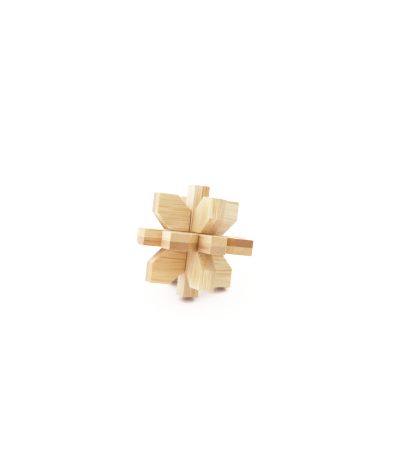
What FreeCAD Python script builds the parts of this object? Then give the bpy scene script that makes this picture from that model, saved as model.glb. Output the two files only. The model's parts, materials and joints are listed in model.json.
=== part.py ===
"""Interlocking flower puzzle: three crossed bars and six bow-tie plates.

Nine loose pieces, each sawn from a board of two glued bamboo laminae. A sawn
slot goes through one whole lamina, so it leaves that lamina as separate
blocks on a lamina that runs through. Every lamina or block is one solid.

The origin is the point where the three bars cross. Each piece is drawn flat,
in its own axes, and turned into its place in the assembly, where X runs along
the side bar, Y along the depth bar away from the front, and Z up the upright
bar. The whole puzzle is then turned to stand as it does on a table, leaning
back on three corners, so that +Z is up from the table.
"""
import FreeCAD, Part
import math
import os
import re

import Sketcher

SHEET_NAME = "Sizes"
SIZES = {
    "plate_reach": 32.0,        # bar axis to the outer edges of a plate
    "plate_thickness": 11.6,    # two laminae
    "bar_width": 12.2,          # two laminae, square section
    "bar_reach": 40.5,          # centre to the end of a bar
    "petal_start": 6.5,         # bar axis to the inner edges of a petal
    "corner_long": 11.3,        # cut-off corner, along the outer edge
    "corner_short": 10.4,       # cut-off corner, along the inner edge
    "slot_play": 0.3,           # extra depth and reach of a bar's long slot
    "notch_play": 0.2,          # extra reach of a bar's centre notch
    "edge_radius": 0.4,         # sanded edges
    "cut_overrun": 1.0,         # how far a saw cut runs past the wood it opens
    "front_plate_lean": 2.4,    # degrees that the loose front plate leans
    "top_plate_shift": 0.3,     # how far the loose top plate sits to the left
}

PETAL_TIP = "petal_start + corner_long"
NECK_TOP = "plate_reach - corner_short"
SLOT_END = "plate_reach - corner_short + slot_play"
NOTCH_END = "bar_width / 2 + notch_play"
BAR_SIDE = "bar_width / 2"
PLATE_PLY = "plate_thickness / 2"
OPEN_END = "bar_reach + cut_overrun"

ROUGH_RADIUS = 10.0    # of the ring of lines that every outline starts as

PLUS_X = FreeCAD.Vector(1, 0, 0)
PLUS_Y = FreeCAD.Vector(0, 1, 0)
PLUS_Z = FreeCAD.Vector(0, 0, 1)

# Each plate: the direction of its length, the direction from the centre out
# to its neck, and the direction from its through lamina to its blocks.
PLATES = {
    "top_plate": (PLUS_X, PLUS_Z, -PLUS_Y, "back_lamina", "right_block", "left_block"),
    "bottom_plate": (-PLUS_X, -PLUS_Z, -PLUS_Y, "back_lamina", "left_block", "right_block"),
    "front_plate": (-PLUS_Z, -PLUS_Y, -PLUS_X, "right_lamina", "lower_block", "upper_block"),
    "back_plate": (PLUS_Z, PLUS_Y, -PLUS_X, "right_lamina", "upper_block", "lower_block"),
    "left_plate": (PLUS_Y, -PLUS_X, PLUS_Z, "lower_lamina", "back_block", "front_block"),
    "key_plate": (-PLUS_Y, PLUS_X, PLUS_Z, "lower_lamina", "front_block", "back_block"),
}

# Each notched bar: its length, the side of its long slot, the side of its
# centre notch, and the names of its solids.
NOTCHED_BARS = {
    "upright_bar": (PLUS_Z, PLUS_Y, -PLUS_X, "right_lamina", "top_block", "bottom_block"),
    "depth_bar": (-PLUS_Y, PLUS_X, PLUS_Z, "lower_lamina", "front_block", "back_block"),
}
SIDE_BAR_AXES = (-PLUS_X, -PLUS_Z, -PLUS_Y)


def bound(text):
    """Write an expression on the sheet's cells from their plain names."""
    return re.sub(r"[a-z_]+", lambda word: SHEET_NAME + "." + word.group(), text)


def minus(text):
    """Negate an expression."""
    return "-(" + text + ")"


def make_sheet(doc):
    """Put the driving sizes in a spreadsheet, one alias to a row."""
    sheet = doc.addObject("Spreadsheet::Sheet", SHEET_NAME)
    for row, (alias, value) in enumerate(SIZES.items(), start=1):
        sheet.set("A" + str(row), alias)
        sheet.set("B" + str(row), str(value))
        sheet.setAlias("B" + str(row), alias)
    doc.recompute()
    return sheet


def origin_plane(body, role):
    """Find one of a body's own origin planes."""
    for feature in body.Origin.OriginFeatures:
        if feature.Role == role:
            return feature
    raise ValueError(role)


def outline(body, role, corners):
    """Sketch a closed outline whose corners are dimensioned from the origin.

    The outline starts as a rough ring of lines, and its dimensions then pull
    every corner to its place.
    """
    sketch = body.newObject("Sketcher::SketchObject", body.Name + "_outline")
    sketch.AttachmentSupport = [(origin_plane(body, role), "")]
    sketch.MapMode = "FlatFace"
    count = len(corners)
    ring = []
    for index in range(count):
        turn = 2 * math.pi * index / count
        ring.append(ROUGH_RADIUS * FreeCAD.Vector(math.cos(turn), math.sin(turn), 0))
    for index in range(count):
        sketch.addGeometry(Part.LineSegment(ring[index], ring[(index + 1) % count]))
    for index in range(count):
        following = (index + 1) % count
        sketch.addConstraint(Sketcher.Constraint("Coincident", index, 2, following, 1))
    for index, (across, along) in enumerate(corners):
        for kind, text, start in (("DistanceX", across, ring[index].x),
                                  ("DistanceY", along, ring[index].y)):
            rule = Sketcher.Constraint(kind, -1, 1, index, 1, start)
            number = sketch.addConstraint(rule)
            sketch.setExpression("Constraints[" + str(number) + "]", bound(text))
    return sketch


def pad(body, sketch, length, reverse):
    """Pad a sketch to one side of its plane."""
    feature = body.newObject("PartDesign::Pad", body.Name + "_pad")
    feature.Profile = sketch
    feature.setExpression("Length", bound(length))
    feature.Reversed = reverse
    sketch.Visibility = False
    return feature


def sand_edges(doc, body, base, glued_normal):
    """Round every edge except those that lie in the glue plane."""
    doc.recompute()
    glue_zone = 2 * SIZES["slot_play"]
    names = []
    for number, edge in enumerate(base.Shape.Edges, start=1):
        heights = [abs(vertex.Point.dot(glued_normal)) for vertex in edge.Vertexes]
        if max(heights) > glue_zone:
            names.append("Edge" + str(number))
    fillet = body.newObject("PartDesign::Fillet", body.Name + "_sanded")
    fillet.Base = (base, names)
    fillet.setExpression("Radius", bound("edge_radius"))
    return fillet


def make_body(doc, name):
    """Start one solid of the puzzle, under the name of its node."""
    body = doc.addObject("PartDesign::Body", name)
    body.Label = name
    return body


def lamina(doc, name, corners, length, reverse):
    """One flat lamina or block: an outline padded away from the glue plane."""
    body = make_body(doc, name)
    sketch = outline(body, "XY_Plane", corners)
    base = pad(body, sketch, length, reverse)
    sand_edges(doc, body, base, PLUS_Z)
    return body


def petal_corners(side):
    """A petal: a square with the two corners nearest the axes cut off.

    The function side turns a length into its place on the right or left petal.
    """
    return [
        (side("plate_reach"), "plate_reach"),
        (side(PETAL_TIP), "plate_reach"),
        (side("petal_start"), NECK_TOP),
        (side("petal_start"), "petal_start"),
        (side(NECK_TOP), "petal_start"),
        (side("plate_reach"), PETAL_TIP),
    ]


def bow_tie_corners():
    """The through lamina: two petals joined by a neck over the bar."""
    return [
        ("plate_reach", "plate_reach"),
        (PETAL_TIP, "plate_reach"),
        ("petal_start", NECK_TOP),
        (minus("petal_start"), NECK_TOP),
        (minus(PETAL_TIP), "plate_reach"),
        (minus("plate_reach"), "plate_reach"),
        (minus("plate_reach"), PETAL_TIP),
        (minus(NECK_TOP), "petal_start"),
        (NECK_TOP, "petal_start"),
        ("plate_reach", PETAL_TIP),
    ]


def make_plate(doc, plate, names):
    """A bow-tie plate: the through lamina and the two blocks beside its slot."""
    through, first, second = names
    return [
        lamina(doc, plate + "_" + through, bow_tie_corners(), PLATE_PLY, True),
        lamina(doc, plate + "_" + first, petal_corners(str), PLATE_PLY, False),
        lamina(doc, plate + "_" + second, petal_corners(minus), PLATE_PLY, False),
    ]


def slotted_corners():
    """The through lamina of a notched bar, with the long slot in one side."""
    return [
        (minus("bar_reach"), minus(BAR_SIDE)),
        ("bar_reach", minus(BAR_SIDE)),
        ("bar_reach", BAR_SIDE),
        (SLOT_END, BAR_SIDE),
        (SLOT_END, minus("slot_play")),
        (minus(SLOT_END), minus("slot_play")),
        (minus(SLOT_END), BAR_SIDE),
        (minus("bar_reach"), BAR_SIDE),
    ]


def bar_block_corners(side):
    """What the centre notch leaves of the other lamina, at one end."""
    return [
        (side(NOTCH_END), minus(BAR_SIDE)),
        (side("bar_reach"), minus(BAR_SIDE)),
        (side("bar_reach"), BAR_SIDE),
        (side(SLOT_END), BAR_SIDE),
        (side(SLOT_END), minus("slot_play")),
        (side(NOTCH_END), minus("slot_play")),
    ]


def make_notched_bar(doc, bar, names):
    """A bar whose long slot crosses both laminae and whose notch cuts one."""
    through, first, second = names
    return [
        lamina(doc, bar + "_" + through, slotted_corners(), BAR_SIDE, True),
        lamina(doc, bar + "_" + first, bar_block_corners(str), BAR_SIDE, False),
        lamina(doc, bar + "_" + second, bar_block_corners(minus), BAR_SIDE, False),
    ]


def make_side_bar_tongue(doc):
    """The upper lamina of the side bar: notched at the centre, and planed
    down by the slot's play from the far end of the slot to the open end."""
    body = make_body(doc, "side_bar_upper_lamina")
    profile = outline(body, "XZ_Plane", [
        (minus("bar_reach"), minus(BAR_SIDE)),
        ("bar_reach", minus(BAR_SIDE)),
        ("bar_reach", BAR_SIDE),
        (NOTCH_END, BAR_SIDE),
        (NOTCH_END, "0"),
        (minus(NOTCH_END), "0"),
        (minus(NOTCH_END), BAR_SIDE),
        (minus("bar_reach"), BAR_SIDE),
    ])
    full = pad(body, profile, BAR_SIDE, False)
    doc.recompute()
    before = full.Shape.Volume
    relief = outline(body, "XY_Plane", [
        (minus(OPEN_END), minus("slot_play")),
        (SLOT_END, minus("slot_play")),
        (SLOT_END, "cut_overrun"),
        (minus(OPEN_END), "cut_overrun"),
    ])
    planed = body.newObject("PartDesign::Pocket", "side_bar_relief")
    planed.Profile = relief
    planed.Type = "ThroughAll"
    planed.Midplane = True
    doc.recompute()
    if planed.Shape.Volume >= before:
        raise ValueError("the side bar's relief cuts nothing")
    sand_edges(doc, body, planed, PLUS_Y)
    return body


def make_side_bar_block(doc):
    """The lower lamina of the side bar: the slot leaves it at one end only."""
    body = make_body(doc, "side_bar_lower_block")
    profile = outline(body, "XZ_Plane", [
        (SLOT_END, minus(BAR_SIDE)),
        ("bar_reach", minus(BAR_SIDE)),
        ("bar_reach", BAR_SIDE),
        (SLOT_END, BAR_SIDE),
    ])
    base = pad(body, profile, BAR_SIDE, True)
    sand_edges(doc, body, base, PLUS_Y)
    return body


def resting_turn():
    """The turn that stands the assembly on the three corners it rests on.

    They are the inner corner of the upright bar's foot, and one lower corner
    each of the bottom plate, on the right, and of the back plate, behind.
    """
    bar_side = SIZES["bar_width"] / 2
    plate_side = SIZES["plate_thickness"] / 2
    reach = SIZES["plate_reach"]
    heel = FreeCAD.Vector(bar_side, bar_side, -SIZES["bar_reach"])
    right_corner = FreeCAD.Vector(reach, plate_side, -reach)
    back_corner = FreeCAD.Vector(plate_side, reach, -reach)
    upward = (right_corner - heel).cross(back_corner - heel)
    return FreeCAD.Placement(FreeCAD.Vector(), FreeCAD.Rotation(upward, PLUS_Z))


def place(bodies, length, outward, facing, loose=FreeCAD.Placement()):
    """Turn a piece from its drawing axes into the assembly, as it rests."""
    turn = FreeCAD.Rotation(length, outward, facing, "XYZ")
    seated = FreeCAD.Placement(FreeCAD.Vector(), turn)
    for body in bodies:
        body.Placement = resting_turn().multiply(loose).multiply(seated)
    return bodies


def loose_fit(plate):
    """Where a plate rests within the play of its slot."""
    if plate == "front_plate":
        lean = FreeCAD.Rotation(PLUS_Y, SIZES["front_plate_lean"])
        return FreeCAD.Placement(FreeCAD.Vector(), lean)
    if plate == "top_plate":
        shift = FreeCAD.Vector(-SIZES["top_plate_shift"], 0, 0)
        return FreeCAD.Placement(shift, FreeCAD.Rotation())
    return FreeCAD.Placement()


def build(doc):
    """Make all nine pieces and return their solids."""
    bodies = []
    for plate, (length, outward, facing, *names) in PLATES.items():
        solids = make_plate(doc, plate, names)
        bodies += place(solids, length, outward, facing, loose_fit(plate))
    for bar, (length, slotted, notched, *names) in NOTCHED_BARS.items():
        solids = make_notched_bar(doc, bar, names)
        bodies += place(solids, length, slotted, notched)
    side_bar = [make_side_bar_tongue(doc), make_side_bar_block(doc)]
    bodies += place(side_bar, *SIDE_BAR_AXES)
    return bodies


def check(doc, bodies):
    """Stop at any failed object and at any body that isn't one sound solid."""
    for item in doc.Objects:
        if "Invalid" in item.State or "Error" in item.State:
            raise ValueError(item.Label + " failed to build")
    for body in bodies:
        shape = body.Shape
        if shape.isNull() or not shape.isValid() or len(shape.Solids) != 1:
            raise ValueError(body.Label + " isn't one sound solid")


def export(bodies):
    """Write each solid to its own file, named after its node."""
    os.makedirs("parts", exist_ok=True)
    for body in bodies:
        body.Shape.exportStep("parts/" + body.Label + ".step")


document = FreeCAD.newDocument("flower_puzzle")
make_sheet(document)
puzzle = build(document)
document.recompute()
check(document, puzzle)
export(puzzle)
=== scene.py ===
"""Bamboo flower puzzle: the look of each lamina, the light, the floor and the view.

The row frame is the CAD frame, in metres: +Z up from the table, +Y away from
the viewer. The puzzle leans back on three corners, so its bars are turned from
the frame; their own directions are called the puzzle's axes here.
"""
import json
import math

import bpy
from mathutils import Matrix, Vector


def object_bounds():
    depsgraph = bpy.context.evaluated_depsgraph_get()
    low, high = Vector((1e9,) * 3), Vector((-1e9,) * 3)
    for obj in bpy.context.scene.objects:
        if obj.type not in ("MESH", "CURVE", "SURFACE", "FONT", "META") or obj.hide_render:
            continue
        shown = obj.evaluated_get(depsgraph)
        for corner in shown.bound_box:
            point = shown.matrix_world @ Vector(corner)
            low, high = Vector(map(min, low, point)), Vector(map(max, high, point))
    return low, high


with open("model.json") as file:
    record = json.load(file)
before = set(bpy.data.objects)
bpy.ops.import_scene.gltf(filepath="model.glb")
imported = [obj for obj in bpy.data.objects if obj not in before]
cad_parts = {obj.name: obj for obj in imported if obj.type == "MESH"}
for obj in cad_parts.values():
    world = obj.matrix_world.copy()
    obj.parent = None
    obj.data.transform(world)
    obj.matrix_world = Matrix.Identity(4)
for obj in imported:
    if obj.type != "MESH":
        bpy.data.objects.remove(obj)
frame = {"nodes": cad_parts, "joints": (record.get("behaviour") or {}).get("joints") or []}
cad_low, cad_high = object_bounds()

MM = 0.001
AXES = {"X": Vector((1, 0, 0)), "Y": Vector((0, 1, 0)), "Z": Vector((0, 0, 1))}

# Each loose piece's board, as the axis its grain runs along and the axis across
# its broad faces. The letters are the puzzle's axes: X the side bar, Y the depth
# bar, Z the upright. Grain runs along a bar, or along a plate's length.
BOARDS = {
    "top_plate": ("X", "Z"),
    "bottom_plate": ("X", "Z"),
    "front_plate": ("Z", "Y"),
    "back_plate": ("Z", "Y"),
    "left_plate": ("Y", "X"),
    "key_plate": ("Y", "X"),
    "upright_bar": ("Z", "Y"),
    "depth_bar": ("Y", "X"),
    "side_bar": ("X", "Y"),
}

# Bamboo tones: the pale ground between the fibres and the darker fibres.
TONES = {
    "ivory": ((0.85, 0.75, 0.56), (0.66, 0.44, 0.21)),
    "straw": ((0.83, 0.69, 0.45), (0.61, 0.36, 0.14)),
    "honey": ((0.81, 0.68, 0.45), (0.57, 0.34, 0.11)),
    "wheat": ((0.77, 0.58, 0.32), (0.50, 0.25, 0.06)),
    "gold": ((0.76, 0.54, 0.25), (0.52, 0.22, 0.03)),
    "tan": ((0.73, 0.56, 0.35), (0.48, 0.29, 0.12)),
    "clay": ((0.52, 0.35, 0.19), (0.34, 0.18, 0.07)),
    "amber": ((0.64, 0.38, 0.15), (0.36, 0.14, 0.03)),
    "umber": ((0.56, 0.285, 0.07), (0.30, 0.10, 0.01)),
}

# Which tone each lamina is.
LAMINAE = {
    "top_plate_back_lamina": "clay",
    "top_plate_left_block": "honey",
    "top_plate_right_block": "ivory",
    "bottom_plate_back_lamina": "clay",
    "bottom_plate_left_block": "gold",
    "bottom_plate_right_block": "honey",
    "front_plate_right_lamina": "tan",
    "front_plate_upper_block": "honey",
    "front_plate_lower_block": "honey",
    "back_plate_right_lamina": "tan",
    "back_plate_upper_block": "ivory",
    "back_plate_lower_block": "honey",
    "left_plate_lower_lamina": "amber",
    "left_plate_front_block": "straw",
    "left_plate_back_block": "straw",
    "key_plate_lower_lamina": "straw",
    "key_plate_front_block": "umber",
    "key_plate_back_block": "umber",
    "upright_bar_right_lamina": "wheat",
    "upright_bar_top_block": "ivory",
    "upright_bar_bottom_block": "tan",
    "depth_bar_lower_lamina": "tan",
    "depth_bar_front_block": "straw",
    "depth_bar_back_block": "ivory",
    "side_bar_upper_lamina": "honey",
    "side_bar_lower_block": "amber",
}

# The view: where the viewer stands round the puzzle, in degrees and metres, then
# the lens and sensor in millimetres and the shift as a share of the frame.
VIEW_AZIMUTH = -23.06
VIEW_ELEVATION = 26.01
VIEW_ROLL = -2.81
VIEW_DISTANCE = 463.8 * MM
VIEW_NEAREST = 10 * MM
VIEW_LENS = 48.59
VIEW_SENSOR = 36.0
VIEW_SHIFT = (0.01469, 0.01039)

# The wood's patterns, each as its squeeze along the grain (the less, the longer
# the streaks), its scale per millimetre, its detail, its roughness, and the two
# levels between which it fades in.
PATTERNS = {
    "clouds": (0.4, 0.07, 1.0, 0.5, 0.35, 0.65),
    "bands": (0.015, 0.32, 1.0, 0.5, 0.38, 0.62),
    "streaks": (0.013, 1.5, 2.0, 0.6, 0.46, 0.61),
    "pores": (0.05, 1.6, 2.0, 0.75, 0.45, 0.58),
    "hair": (0.08, 5.5, 2.0, 0.5, 0.35, 0.75),
}
BUNDLE_SQUEEZE, BUNDLE_SCALE = 0.022, 1.35
BUNDLE_CORE, BUNDLE_RIM = 0.16, 0.36
LEAST_CROWDING = 0.3

# How far each lamina starts from the last one in the pattern: along, across and
# through it in millimetres, then in strips.
LAMINA_STEPS = (37.0, 11.3, 5.9)
STRIP_STEP = 17.0

# How much each pattern turns the pale ground into fibre.
STREAK_SHARE, STRIP_SHARE, CLOUD_SHARE = 0.95, 0.16, 0.36

# The darker marks, in the order they are laid on: how bright each is beside the
# fibre, how strong it is on a long face, and how much stronger on a sawn end. A
# face counts as an end by how squarely it cuts the grain, fading between two levels.
MARKS = {
    "bundles": (0.72, 0.45, 0.25),
    "hair": (0.80, 0.25, 0.0),
    "ends": (0.88, 0.70, 0.0),
    "pores": (0.50, 0.10, 0.34),
    "seams": (0.70, 0.14, 0.0),
}
END_FADE = (0.60, 1.0)

# Strips of bamboo, in millimetres: how wide, how far apart their streaks lie in
# the pattern, how far they bow, and how fast the bow changes along, across and
# through the board. A seam fades in towards half a strip from the middle.
STRIP_WIDTH = 5.3
STRIP_SPREAD = 40.0
BOW_REACH = 5.0
BOW_RATES = (0.02, 0.05, 0.2)
SEAM_FADE = (0.482, 0.5)

# Wear and painted shade: the rounding of a handled edge, then how near other wood
# has to be for painted brown shade and a painted warm glow in the gaps, and for a
# warmer painted shade on sheltered wood. Each fades between two levels.
EDGE_RADIUS, EDGE_FADE = 0.7 * MM, (0.90, 0.998)
EDGE_PALENESS, EDGE_SHARE = 1.12, 0.25
GAP_REACH, GAP_FADE = 1.8 * MM, (0.12, 0.68)
GAP_SHADE_BROWN, GAP_SHARE = (0.20, 0.07, 0.015), 0.75
GAP_GLOW, GAP_GLOW_STRENGTH = (1.0, 0.36, 0.10), 0.09
WARM_SHADE_REACH, WARM_SHADE_FADE = 14 * MM, (0.25, 1.0)
WARM_SHADE_TINT = (1.0, 0.89, 0.73)

# Surface: satin wood under a thin rubbed coat, a little rougher on sawn ends.
# The soft ground wears away, so the bundles and the fine fibres make a relief.
BUNDLE_RELIEF = -0.6
RELIEF_STRENGTH, RELIEF_DEPTH = 0.22, 0.06 * MM
ROUGHNESS, HAIR_ROUGHNESS, END_ROUGHNESS = 0.42, 0.18, 0.15
GLOSS, COAT, COAT_ROUGHNESS = 0.5, 0.4, 0.3

# Light: the even wash of the room, then soft lobes as (direction, glow, how
# tight). The backdrop and the floor have a sheen that only the polished wood
# reflects, and the floor has a glow that only the viewer sees.
SKY_WASH = (0.46, 0.453, 0.444)
SKY_LOBES = (
    ((0.31, 0.11, 0.97), (1.70, 1.67, 1.64), 1.5),
    ((-0.88, 0.27, 0.48), (1.26, 1.32, 1.45), 1.5),
)
BACKDROP_SHEEN, BACKDROP_SHEEN_FROM = 4.0, (-0.52, 0.84, 0.10)
FLOOR_SHEEN = 2.4
FLOOR_GLOW = 0.9
FLOOR_WHITE = (0.92, 0.91, 0.90)
# The floor's shadow colour is painted shade, mixed in near the puzzle.
FLOOR_SHADE = (0.46, 0.24, 0.14)
FLOOR_GLOW_TINT = (1.0, 0.975, 0.96)

# The floor, in metres from its middle to each side, and where shadow is painted onto it: close
# under the contacts, and faintly all round. The sheen it shows in the wood is dimmed near the
# puzzle too, as painted shade.
FLOOR_HALF = 6.0
CONTACT_REACH, CONTACT_FADE = 7 * MM, (0.05, 0.85)
SHADE_REACH, SHADE_FADE, SHADE_LEAST = 30 * MM, (0.15, 0.70), 0.55
SHEEN_FADE, SHEEN_LEAST = (0.45, 0.98), 0.15

# Exposure: the light that shows as white, and the tone curve up to it as
# (light, shown) pairs.
WHITE_POINT = 2.2
TONE_SHOULDER = ((0.5, 0.5), (0.75, 0.70), (1.0, 0.83), (1.4, 0.93))


class Nodes:
    """A shorthand for building the node tree of a material or a world afresh."""

    def __init__(self, owner):
        owner.use_nodes = True
        self.tree = owner.node_tree
        self.tree.nodes.clear()

    def add(self, kind, inputs=None, **settings):
        node = self.tree.nodes.new(kind)
        for name, value in settings.items():
            setattr(node, name, value)
        for name, value in (inputs or {}).items():
            self.feed(node.inputs[name], value)
        return node

    def output(self, kind, inputs=None, **settings):
        """Add a node and give its first output."""
        return self.add(kind, inputs, **settings).outputs[0]

    def feed(self, socket, value):
        if isinstance(value, bpy.types.NodeSocket):
            self.tree.links.new(value, socket)
        else:
            socket.default_value = value

    def math(self, operation, first, second=0.0, third=0.0):
        node = self.add("ShaderNodeMath", operation=operation)
        for socket, value in zip(node.inputs, (first, second, third)):
            self.feed(socket, value)
        return node.outputs[0]

    def vector(self, operation, first, second):
        node = self.add("ShaderNodeVectorMath", {0: first, 1: second}, operation=operation)
        return node.outputs["Vector"]

    def dot(self, first, second):
        node = self.add("ShaderNodeVectorMath", {0: first, 1: second}, operation="DOT_PRODUCT")
        return node.outputs["Value"]

    def lobe(self, toward, direction, spread):
        """How much of a soft spot of light lies in the direction looked toward."""
        facing = self.dot(toward, tuple(Vector(direction).normalized()))
        return self.math("POWER", self.math("MAXIMUM", facing, 0.0), spread)

    def combine(self, x, y, z):
        return self.output("ShaderNodeCombineXYZ", {"X": x, "Y": y, "Z": z})

    def ramp(self, value, low, high, to_low=0.0, to_high=1.0):
        node = self.add("ShaderNodeMapRange", interpolation_type="SMOOTHSTEP")
        for name, item in (("Value", value), ("From Min", low), ("From Max", high),
                           ("To Min", to_low), ("To Max", to_high)):
            self.feed(node.inputs[name], item)
        return node.outputs["Result"]

    def noise(self, place, scale, detail, roughness=0.5):
        node = self.add("ShaderNodeTexNoise", {"Vector": place, "Scale": scale,
                                               "Detail": detail, "Roughness": roughness})
        return node.outputs["Fac"]

    def openness(self, reach):
        """How open the surface is: 1 in the clear, less where anything is within reach."""
        return self.add("ShaderNodeAmbientOcclusion", {"Distance": reach}, samples=8).outputs["AO"]

    def mix(self, factor, first, second, blend="MIX"):
        node = self.add("ShaderNodeMix", data_type="RGBA", blend_type=blend)
        self.feed(node.inputs[0], factor)
        self.feed(node.inputs[6], first)
        self.feed(node.inputs[7], second)
        return node.outputs[2]


def color(rgb):
    """Give a colour the alpha that a colour socket wants."""
    return (*rgb, 1.0)


def scaled(rgb, factor):
    """Lighten or darken a colour."""
    return tuple(factor * part for part in rgb)


def puzzle_turn():
    """The turn from the puzzle's axes to the row frame.

    The key slides along the side bar, and the puzzle leans back by the same
    amount about both of its level bars.
    """
    lean = frame["joints"][0]["axis"][2]
    upward = Vector((lean, lean, math.sqrt(1.0 - 2.0 * lean ** 2)))
    return upward.rotation_difference(Vector((0.0, 0.0, 1.0)))


def bamboo(name, grain, width, tone, seed):
    """Laminated bamboo: strips side by side, each full of long fibre bundles.

    The pattern is solid, so the same bundles show as streaks on the long
    faces and as dots on the sawn ends.
    """
    material = bpy.data.materials.new(name)
    n = Nodes(material)
    ground, fibre = TONES[tone]
    turn = puzzle_turn()
    normal = n.add("ShaderNodeNewGeometry").outputs["Normal"]

    # Sawn ends soak up light: the fibres show as dots and the ground darkens.
    facing = n.math("ABSOLUTE", n.dot(normal, tuple(turn @ AXES[grain])))
    end = n.ramp(facing, *END_FADE)

    wood = bamboo_patterns(n, board_place(n, turn, grain, width, seed), seed)
    base = fibre_color(n, wood, end, ground, fibre)
    # Painted shade: near other wood the gaps turn brown and the wood warmer; handled edges wear
    # paler.
    unshaded = n.ramp(n.openness(GAP_REACH), *GAP_FADE)
    base = worn_and_shaded_color(n, base, normal, unshaded, ground)

    relief = n.math("ADD", n.math("MULTIPLY", wood["bundle"], BUNDLE_RELIEF), wood["hair"])
    bump = n.add("ShaderNodeBump", {
        "Strength": RELIEF_STRENGTH, "Distance": RELIEF_DEPTH, "Height": relief})
    rough = n.math("MULTIPLY_ADD", wood["hair"], HAIR_ROUGHNESS, ROUGHNESS)
    # The gloss and coat fade out in the painted gap shade, and the gaps get a faint painted warm
    # glow.
    shader = n.output("ShaderNodeBsdfPrincipled", {
        "Base Color": base,
        "Roughness": n.math("MULTIPLY_ADD", end, END_ROUGHNESS, rough),
        "Specular IOR Level": n.math("MULTIPLY", unshaded, GLOSS),
        "Coat Weight": n.math("MULTIPLY", unshaded, COAT),
        "Coat Roughness": COAT_ROUGHNESS,
        "Emission Color": color(GAP_GLOW),
        "Emission Strength": n.math("MULTIPLY", n.math("SUBTRACT", 1.0, unshaded), GAP_GLOW_STRENGTH),
        "Normal": bump.outputs["Normal"]})
    n.add("ShaderNodeOutputMaterial", {"Surface": shader})
    return material


def board_place(n, turn, grain, width, seed):
    """A point's place in its board, in millimetres: along the grain, across it and deep.

    Each lamina starts somewhere else in the pattern, so that no two are alike.
    """
    place = n.output("ShaderNodeVectorRotate", {
        "Vector": n.add("ShaderNodeTexCoord").outputs["Object"],
        "Axis": turn.axis, "Angle": -turn.angle})
    split = n.add("ShaderNodeSeparateXYZ", {"Vector": place})
    depth = (set(AXES) - {grain, width}).pop()
    return [n.math("MULTIPLY_ADD", split.outputs[axis], 1 / MM, step * seed)
            for axis, step in zip((grain, width, depth), LAMINA_STEPS)]


def bamboo_patterns(n, place, seed):
    """The strips, seams and fibres of one lamina, by name."""
    along, across, deep = place

    def fibres(name, sideways):
        squeeze, scale, detail, roughness = PATTERNS[name][:4]
        drawn_out = n.combine(n.math("MULTIPLY", along, squeeze), sideways, deep)
        return n.noise(drawn_out, scale, detail, roughness)

    def faded(name, level, to_low=0.0):
        return n.ramp(level, *PATTERNS[name][4:], to_low)

    # Fibres wander as they run, so the streaks bow like cut growth rings.
    drift = [n.math("MULTIPLY", part, rate) for part, rate in zip(place, BOW_RATES)]
    bow = n.noise(n.combine(*drift), 1.0, 1.0)
    bent = n.math("MULTIPLY_ADD", bow, BOW_REACH, across)

    # Each strip has its own tone and its own streaks, and a hair-thin glue seam.
    strips = n.math("DIVIDE", bent, STRIP_WIDTH)
    number = n.math("ADD", n.math("FLOOR", strips), STRIP_STEP * seed)
    strip_tone = n.add("ShaderNodeTexWhiteNoise", {"W": number},
                       noise_dimensions="1D").outputs["Value"]
    shifted = n.math("MULTIPLY_ADD", strip_tone, STRIP_SPREAD, bent)
    off_middle = n.math("ABSOLUTE", n.math("SUBTRACT", n.math("FRACT", strips), 0.5))

    bundles = n.add("ShaderNodeTexVoronoi", {
        "Vector": n.combine(n.math("MULTIPLY", along, BUNDLE_SQUEEZE), shifted, deep),
        "Scale": BUNDLE_SCALE, "Randomness": 1.0}, feature="F1").outputs["Distance"]
    bundle = n.ramp(bundles, BUNDLE_CORE, BUNDLE_RIM, 1.0, 0.0)
    crowding = faded("bands", fibres("bands", bent), LEAST_CROWDING)
    hair = fibres("hair", bent)
    return {
        "strip_tone": strip_tone,
        "bundle": bundle,
        "crowding": crowding,
        "hair": hair,
        "clouds": faded("clouds", fibres("clouds", across)),
        "streaks": n.math("MULTIPLY", faded("streaks", fibres("streaks", shifted)), crowding),
        "hair_marks": faded("hair", hair),
        "pores": faded("pores", fibres("pores", bent)),
        "seams": n.ramp(off_middle, *SEAM_FADE),
    }


def fibre_color(n, wood, end, ground, fibre):
    """Pale ground that turns to fibre where the streaks are, with darker marks on top."""
    shade = n.math("MULTIPLY_ADD", wood["streaks"], STREAK_SHARE,
                   n.math("MULTIPLY", wood["strip_tone"], STRIP_SHARE))
    shade = n.math("MULTIPLY_ADD", wood["clouds"], CLOUD_SHARE, shade)
    base = n.mix(shade, color(ground), color(fibre))
    masks = {
        "bundles": n.math("MULTIPLY", wood["bundle"], wood["crowding"]),
        "hair": wood["hair_marks"],
        "ends": end,
        "pores": wood["pores"],
        "seams": wood["seams"],
    }
    for name, (brightness, strength, more_on_ends) in MARKS.items():
        strength = n.math("MULTIPLY_ADD", end, more_on_ends, strength)
        base = n.mix(n.math("MULTIPLY", masks[name], strength),
                     base, color(scaled(fibre, brightness)))
    return base


def worn_and_shaded_color(n, base, normal, unshaded, ground):
    """Paler handled edges, then painted shade: brown in the gaps, and warmer where other wood is
    near.
    """
    rounded = n.add("ShaderNodeBevel", {"Radius": EDGE_RADIUS}, samples=4).outputs["Normal"]
    edge = n.ramp(n.dot(rounded, normal), *EDGE_FADE, 1.0, 0.0)
    base = n.mix(n.math("MULTIPLY", edge, EDGE_SHARE), base, color(scaled(ground, EDGE_PALENESS)))
    # Painted shade: the wood turns brown in the gaps between pieces.
    base = n.mix(unshaded, n.mix(GAP_SHARE, base, color(GAP_SHADE_BROWN)), base)
    # Painted shade: wood with other wood near it is tinted warmer, for light bounced off the wood.
    warm_shade = n.ramp(n.openness(WARM_SHADE_REACH), *WARM_SHADE_FADE, 1.0, 0.0)
    return n.mix(warm_shade, base, n.mix(1.0, base, color(WARM_SHADE_TINT), "MULTIPLY"))


def board_of(node):
    """The grain and width axes of the loose piece that a lamina belongs to."""
    return next(axes for piece, axes in BOARDS.items() if node.startswith(piece))


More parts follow.
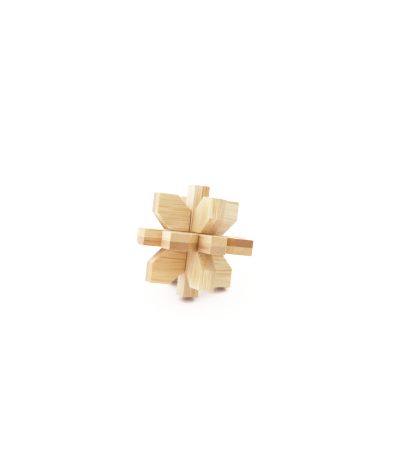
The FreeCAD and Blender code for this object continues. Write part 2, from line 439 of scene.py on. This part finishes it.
def dress_laminae():
    """Give each lamina its own bamboo."""
    for seed, (node, tone) in enumerate(LAMINAE.items(), start=1):
        grain, width = board_of(node)
        wood = frame["nodes"][node]
        finish = bamboo(node + "_bamboo", grain, width, tone, seed)
        wood.data.materials.clear()
        wood.data.materials.append(finish)


def make_floor():
    """A wide pale sheet, level, under the three corners that the puzzle leans on."""
    mesh = bpy.data.meshes.new("floor")
    half = FLOOR_HALF
    corners = [(-half, -half, 0), (half, -half, 0), (half, half, 0), (-half, half, 0)]
    mesh.from_pydata(corners, [], [(0, 1, 2, 3)])
    floor = bpy.data.objects.new("floor", mesh)
    bpy.context.scene.collection.objects.link(floor)
    floor.location.z = cad_low[2]
    floor.data.materials.append(floor_finish())


def floor_finish():
    """White seen from above and clear from below, so that no view is blocked.

    The contact shadows are painted into its colour and glow. The extra glow is for the
    viewer only: it burns the floor out to white around the painted contact shadows and
    throws no light on the wood.
    """
    material = bpy.data.materials.new("white_sweep")
    material.cycles.emission_sampling = "NONE"
    n = Nodes(material)
    # Painted shadow: the floor turns brown and dims close under the contacts and faintly all round.
    close = n.openness(CONTACT_REACH)
    wide = n.openness(SHADE_REACH)
    unshadowed = n.math("MULTIPLY", n.ramp(close, *CONTACT_FADE), n.ramp(wide, *SHADE_FADE, SHADE_LEAST))
    tint = n.mix(unshadowed, color(FLOOR_SHADE), color(FLOOR_WHITE))
    white = n.output("ShaderNodeBsdfDiffuse", {"Color": tint})
    paths = n.add("ShaderNodeLightPath")
    sheen = n.ramp(wide, *SHEEN_FADE, SHEEN_LEAST, FLOOR_SHEEN)
    sheen = n.math("MULTIPLY", paths.outputs["Is Glossy Ray"], sheen)
    strength = n.math("MULTIPLY_ADD", paths.outputs["Is Camera Ray"], FLOOR_GLOW, sheen)
    strength = n.math("MULTIPLY", strength, unshadowed)
    glow = n.output("ShaderNodeEmission", {"Color": color(FLOOR_GLOW_TINT), "Strength": strength})
    lit = n.output("ShaderNodeAddShader", {0: white, 1: glow})
    clear = n.output("ShaderNodeBsdfTransparent")
    below = n.add("ShaderNodeNewGeometry").outputs["Backfacing"]
    mixed = n.output("ShaderNodeMixShader", {0: below, 1: lit, 2: clear})
    n.add("ShaderNodeOutputMaterial", {"Surface": mixed})
    return material


def make_studio():
    """A white room of soft light: a level wash, more from above and from the left."""
    world = bpy.data.worlds.new("studio")
    bpy.context.scene.world = world
    world.cycles.sampling_method = "NONE"
    n = Nodes(world)
    toward = n.add("ShaderNodeTexCoord").outputs["Generated"]
    light = SKY_WASH
    for direction, glow, spread in SKY_LOBES:
        light = n.vector("ADD", light, n.vector("MULTIPLY", glow, n.lobe(toward, direction, spread)))
    paths = n.add("ShaderNodeLightPath")
    sheen = n.math("MULTIPLY", n.lobe(toward, BACKDROP_SHEEN_FROM, 1.0), BACKDROP_SHEEN)
    light = n.vector("ADD", light, n.math("MULTIPLY", paths.outputs["Is Glossy Ray"], sheen))
    wash = n.output("ShaderNodeBackground", {"Color": light, "Strength": 1.0})
    white = {"Color": color((1.0, 1.0, 1.0)), "Strength": WHITE_POINT}
    backdrop = n.output("ShaderNodeBackground", white)
    seen = paths.outputs["Is Camera Ray"]
    mixed = n.output("ShaderNodeMixShader", {0: seen, 1: wash, 2: backdrop})
    n.add("ShaderNodeOutputWorld", {"Surface": mixed})


def set_tone_curve():
    """A photographic shoulder: whites roll off softly instead of clipping."""
    view = bpy.context.scene.view_settings
    view.view_transform = "Standard"
    view.use_curve_mapping = True
    mapping = view.curve_mapping
    mapping.white_level = (WHITE_POINT,) * 3
    curve = mapping.curves[3]
    for scene_value, shown in TONE_SHOULDER:
        curve.points.new(scene_value / WHITE_POINT, shown)
    mapping.update()


def make_camera():
    """The viewer's eye: round the puzzle, then up, then rolled about the line of sight."""
    azimuth = math.radians(VIEW_AZIMUTH)
    elevation = math.radians(VIEW_ELEVATION)
    back = Vector((math.sin(azimuth) * math.cos(elevation),
                   -math.cos(azimuth) * math.cos(elevation), math.sin(elevation)))
    level = Vector((math.cos(azimuth), math.sin(azimuth), 0.0))
    rise = back.cross(level)
    turn = Matrix.Rotation(math.radians(VIEW_ROLL), 3, back)
    right, up = turn @ level, turn @ rise
    data = bpy.data.cameras.new("view")
    data.lens = VIEW_LENS
    data.sensor_width = VIEW_SENSOR
    data.shift_x, data.shift_y = VIEW_SHIFT
    data.clip_start = VIEW_NEAREST
    camera = bpy.data.objects.new("view", data)
    bpy.context.scene.collection.objects.link(camera)
    spin = Matrix((right, up, back)).transposed().to_4x4()
    camera.matrix_world = Matrix.Translation(back * VIEW_DISTANCE) @ spin
    bpy.context.scene.camera = camera


dress_laminae()
make_floor()
make_studio()
make_camera()
set_tone_curve()
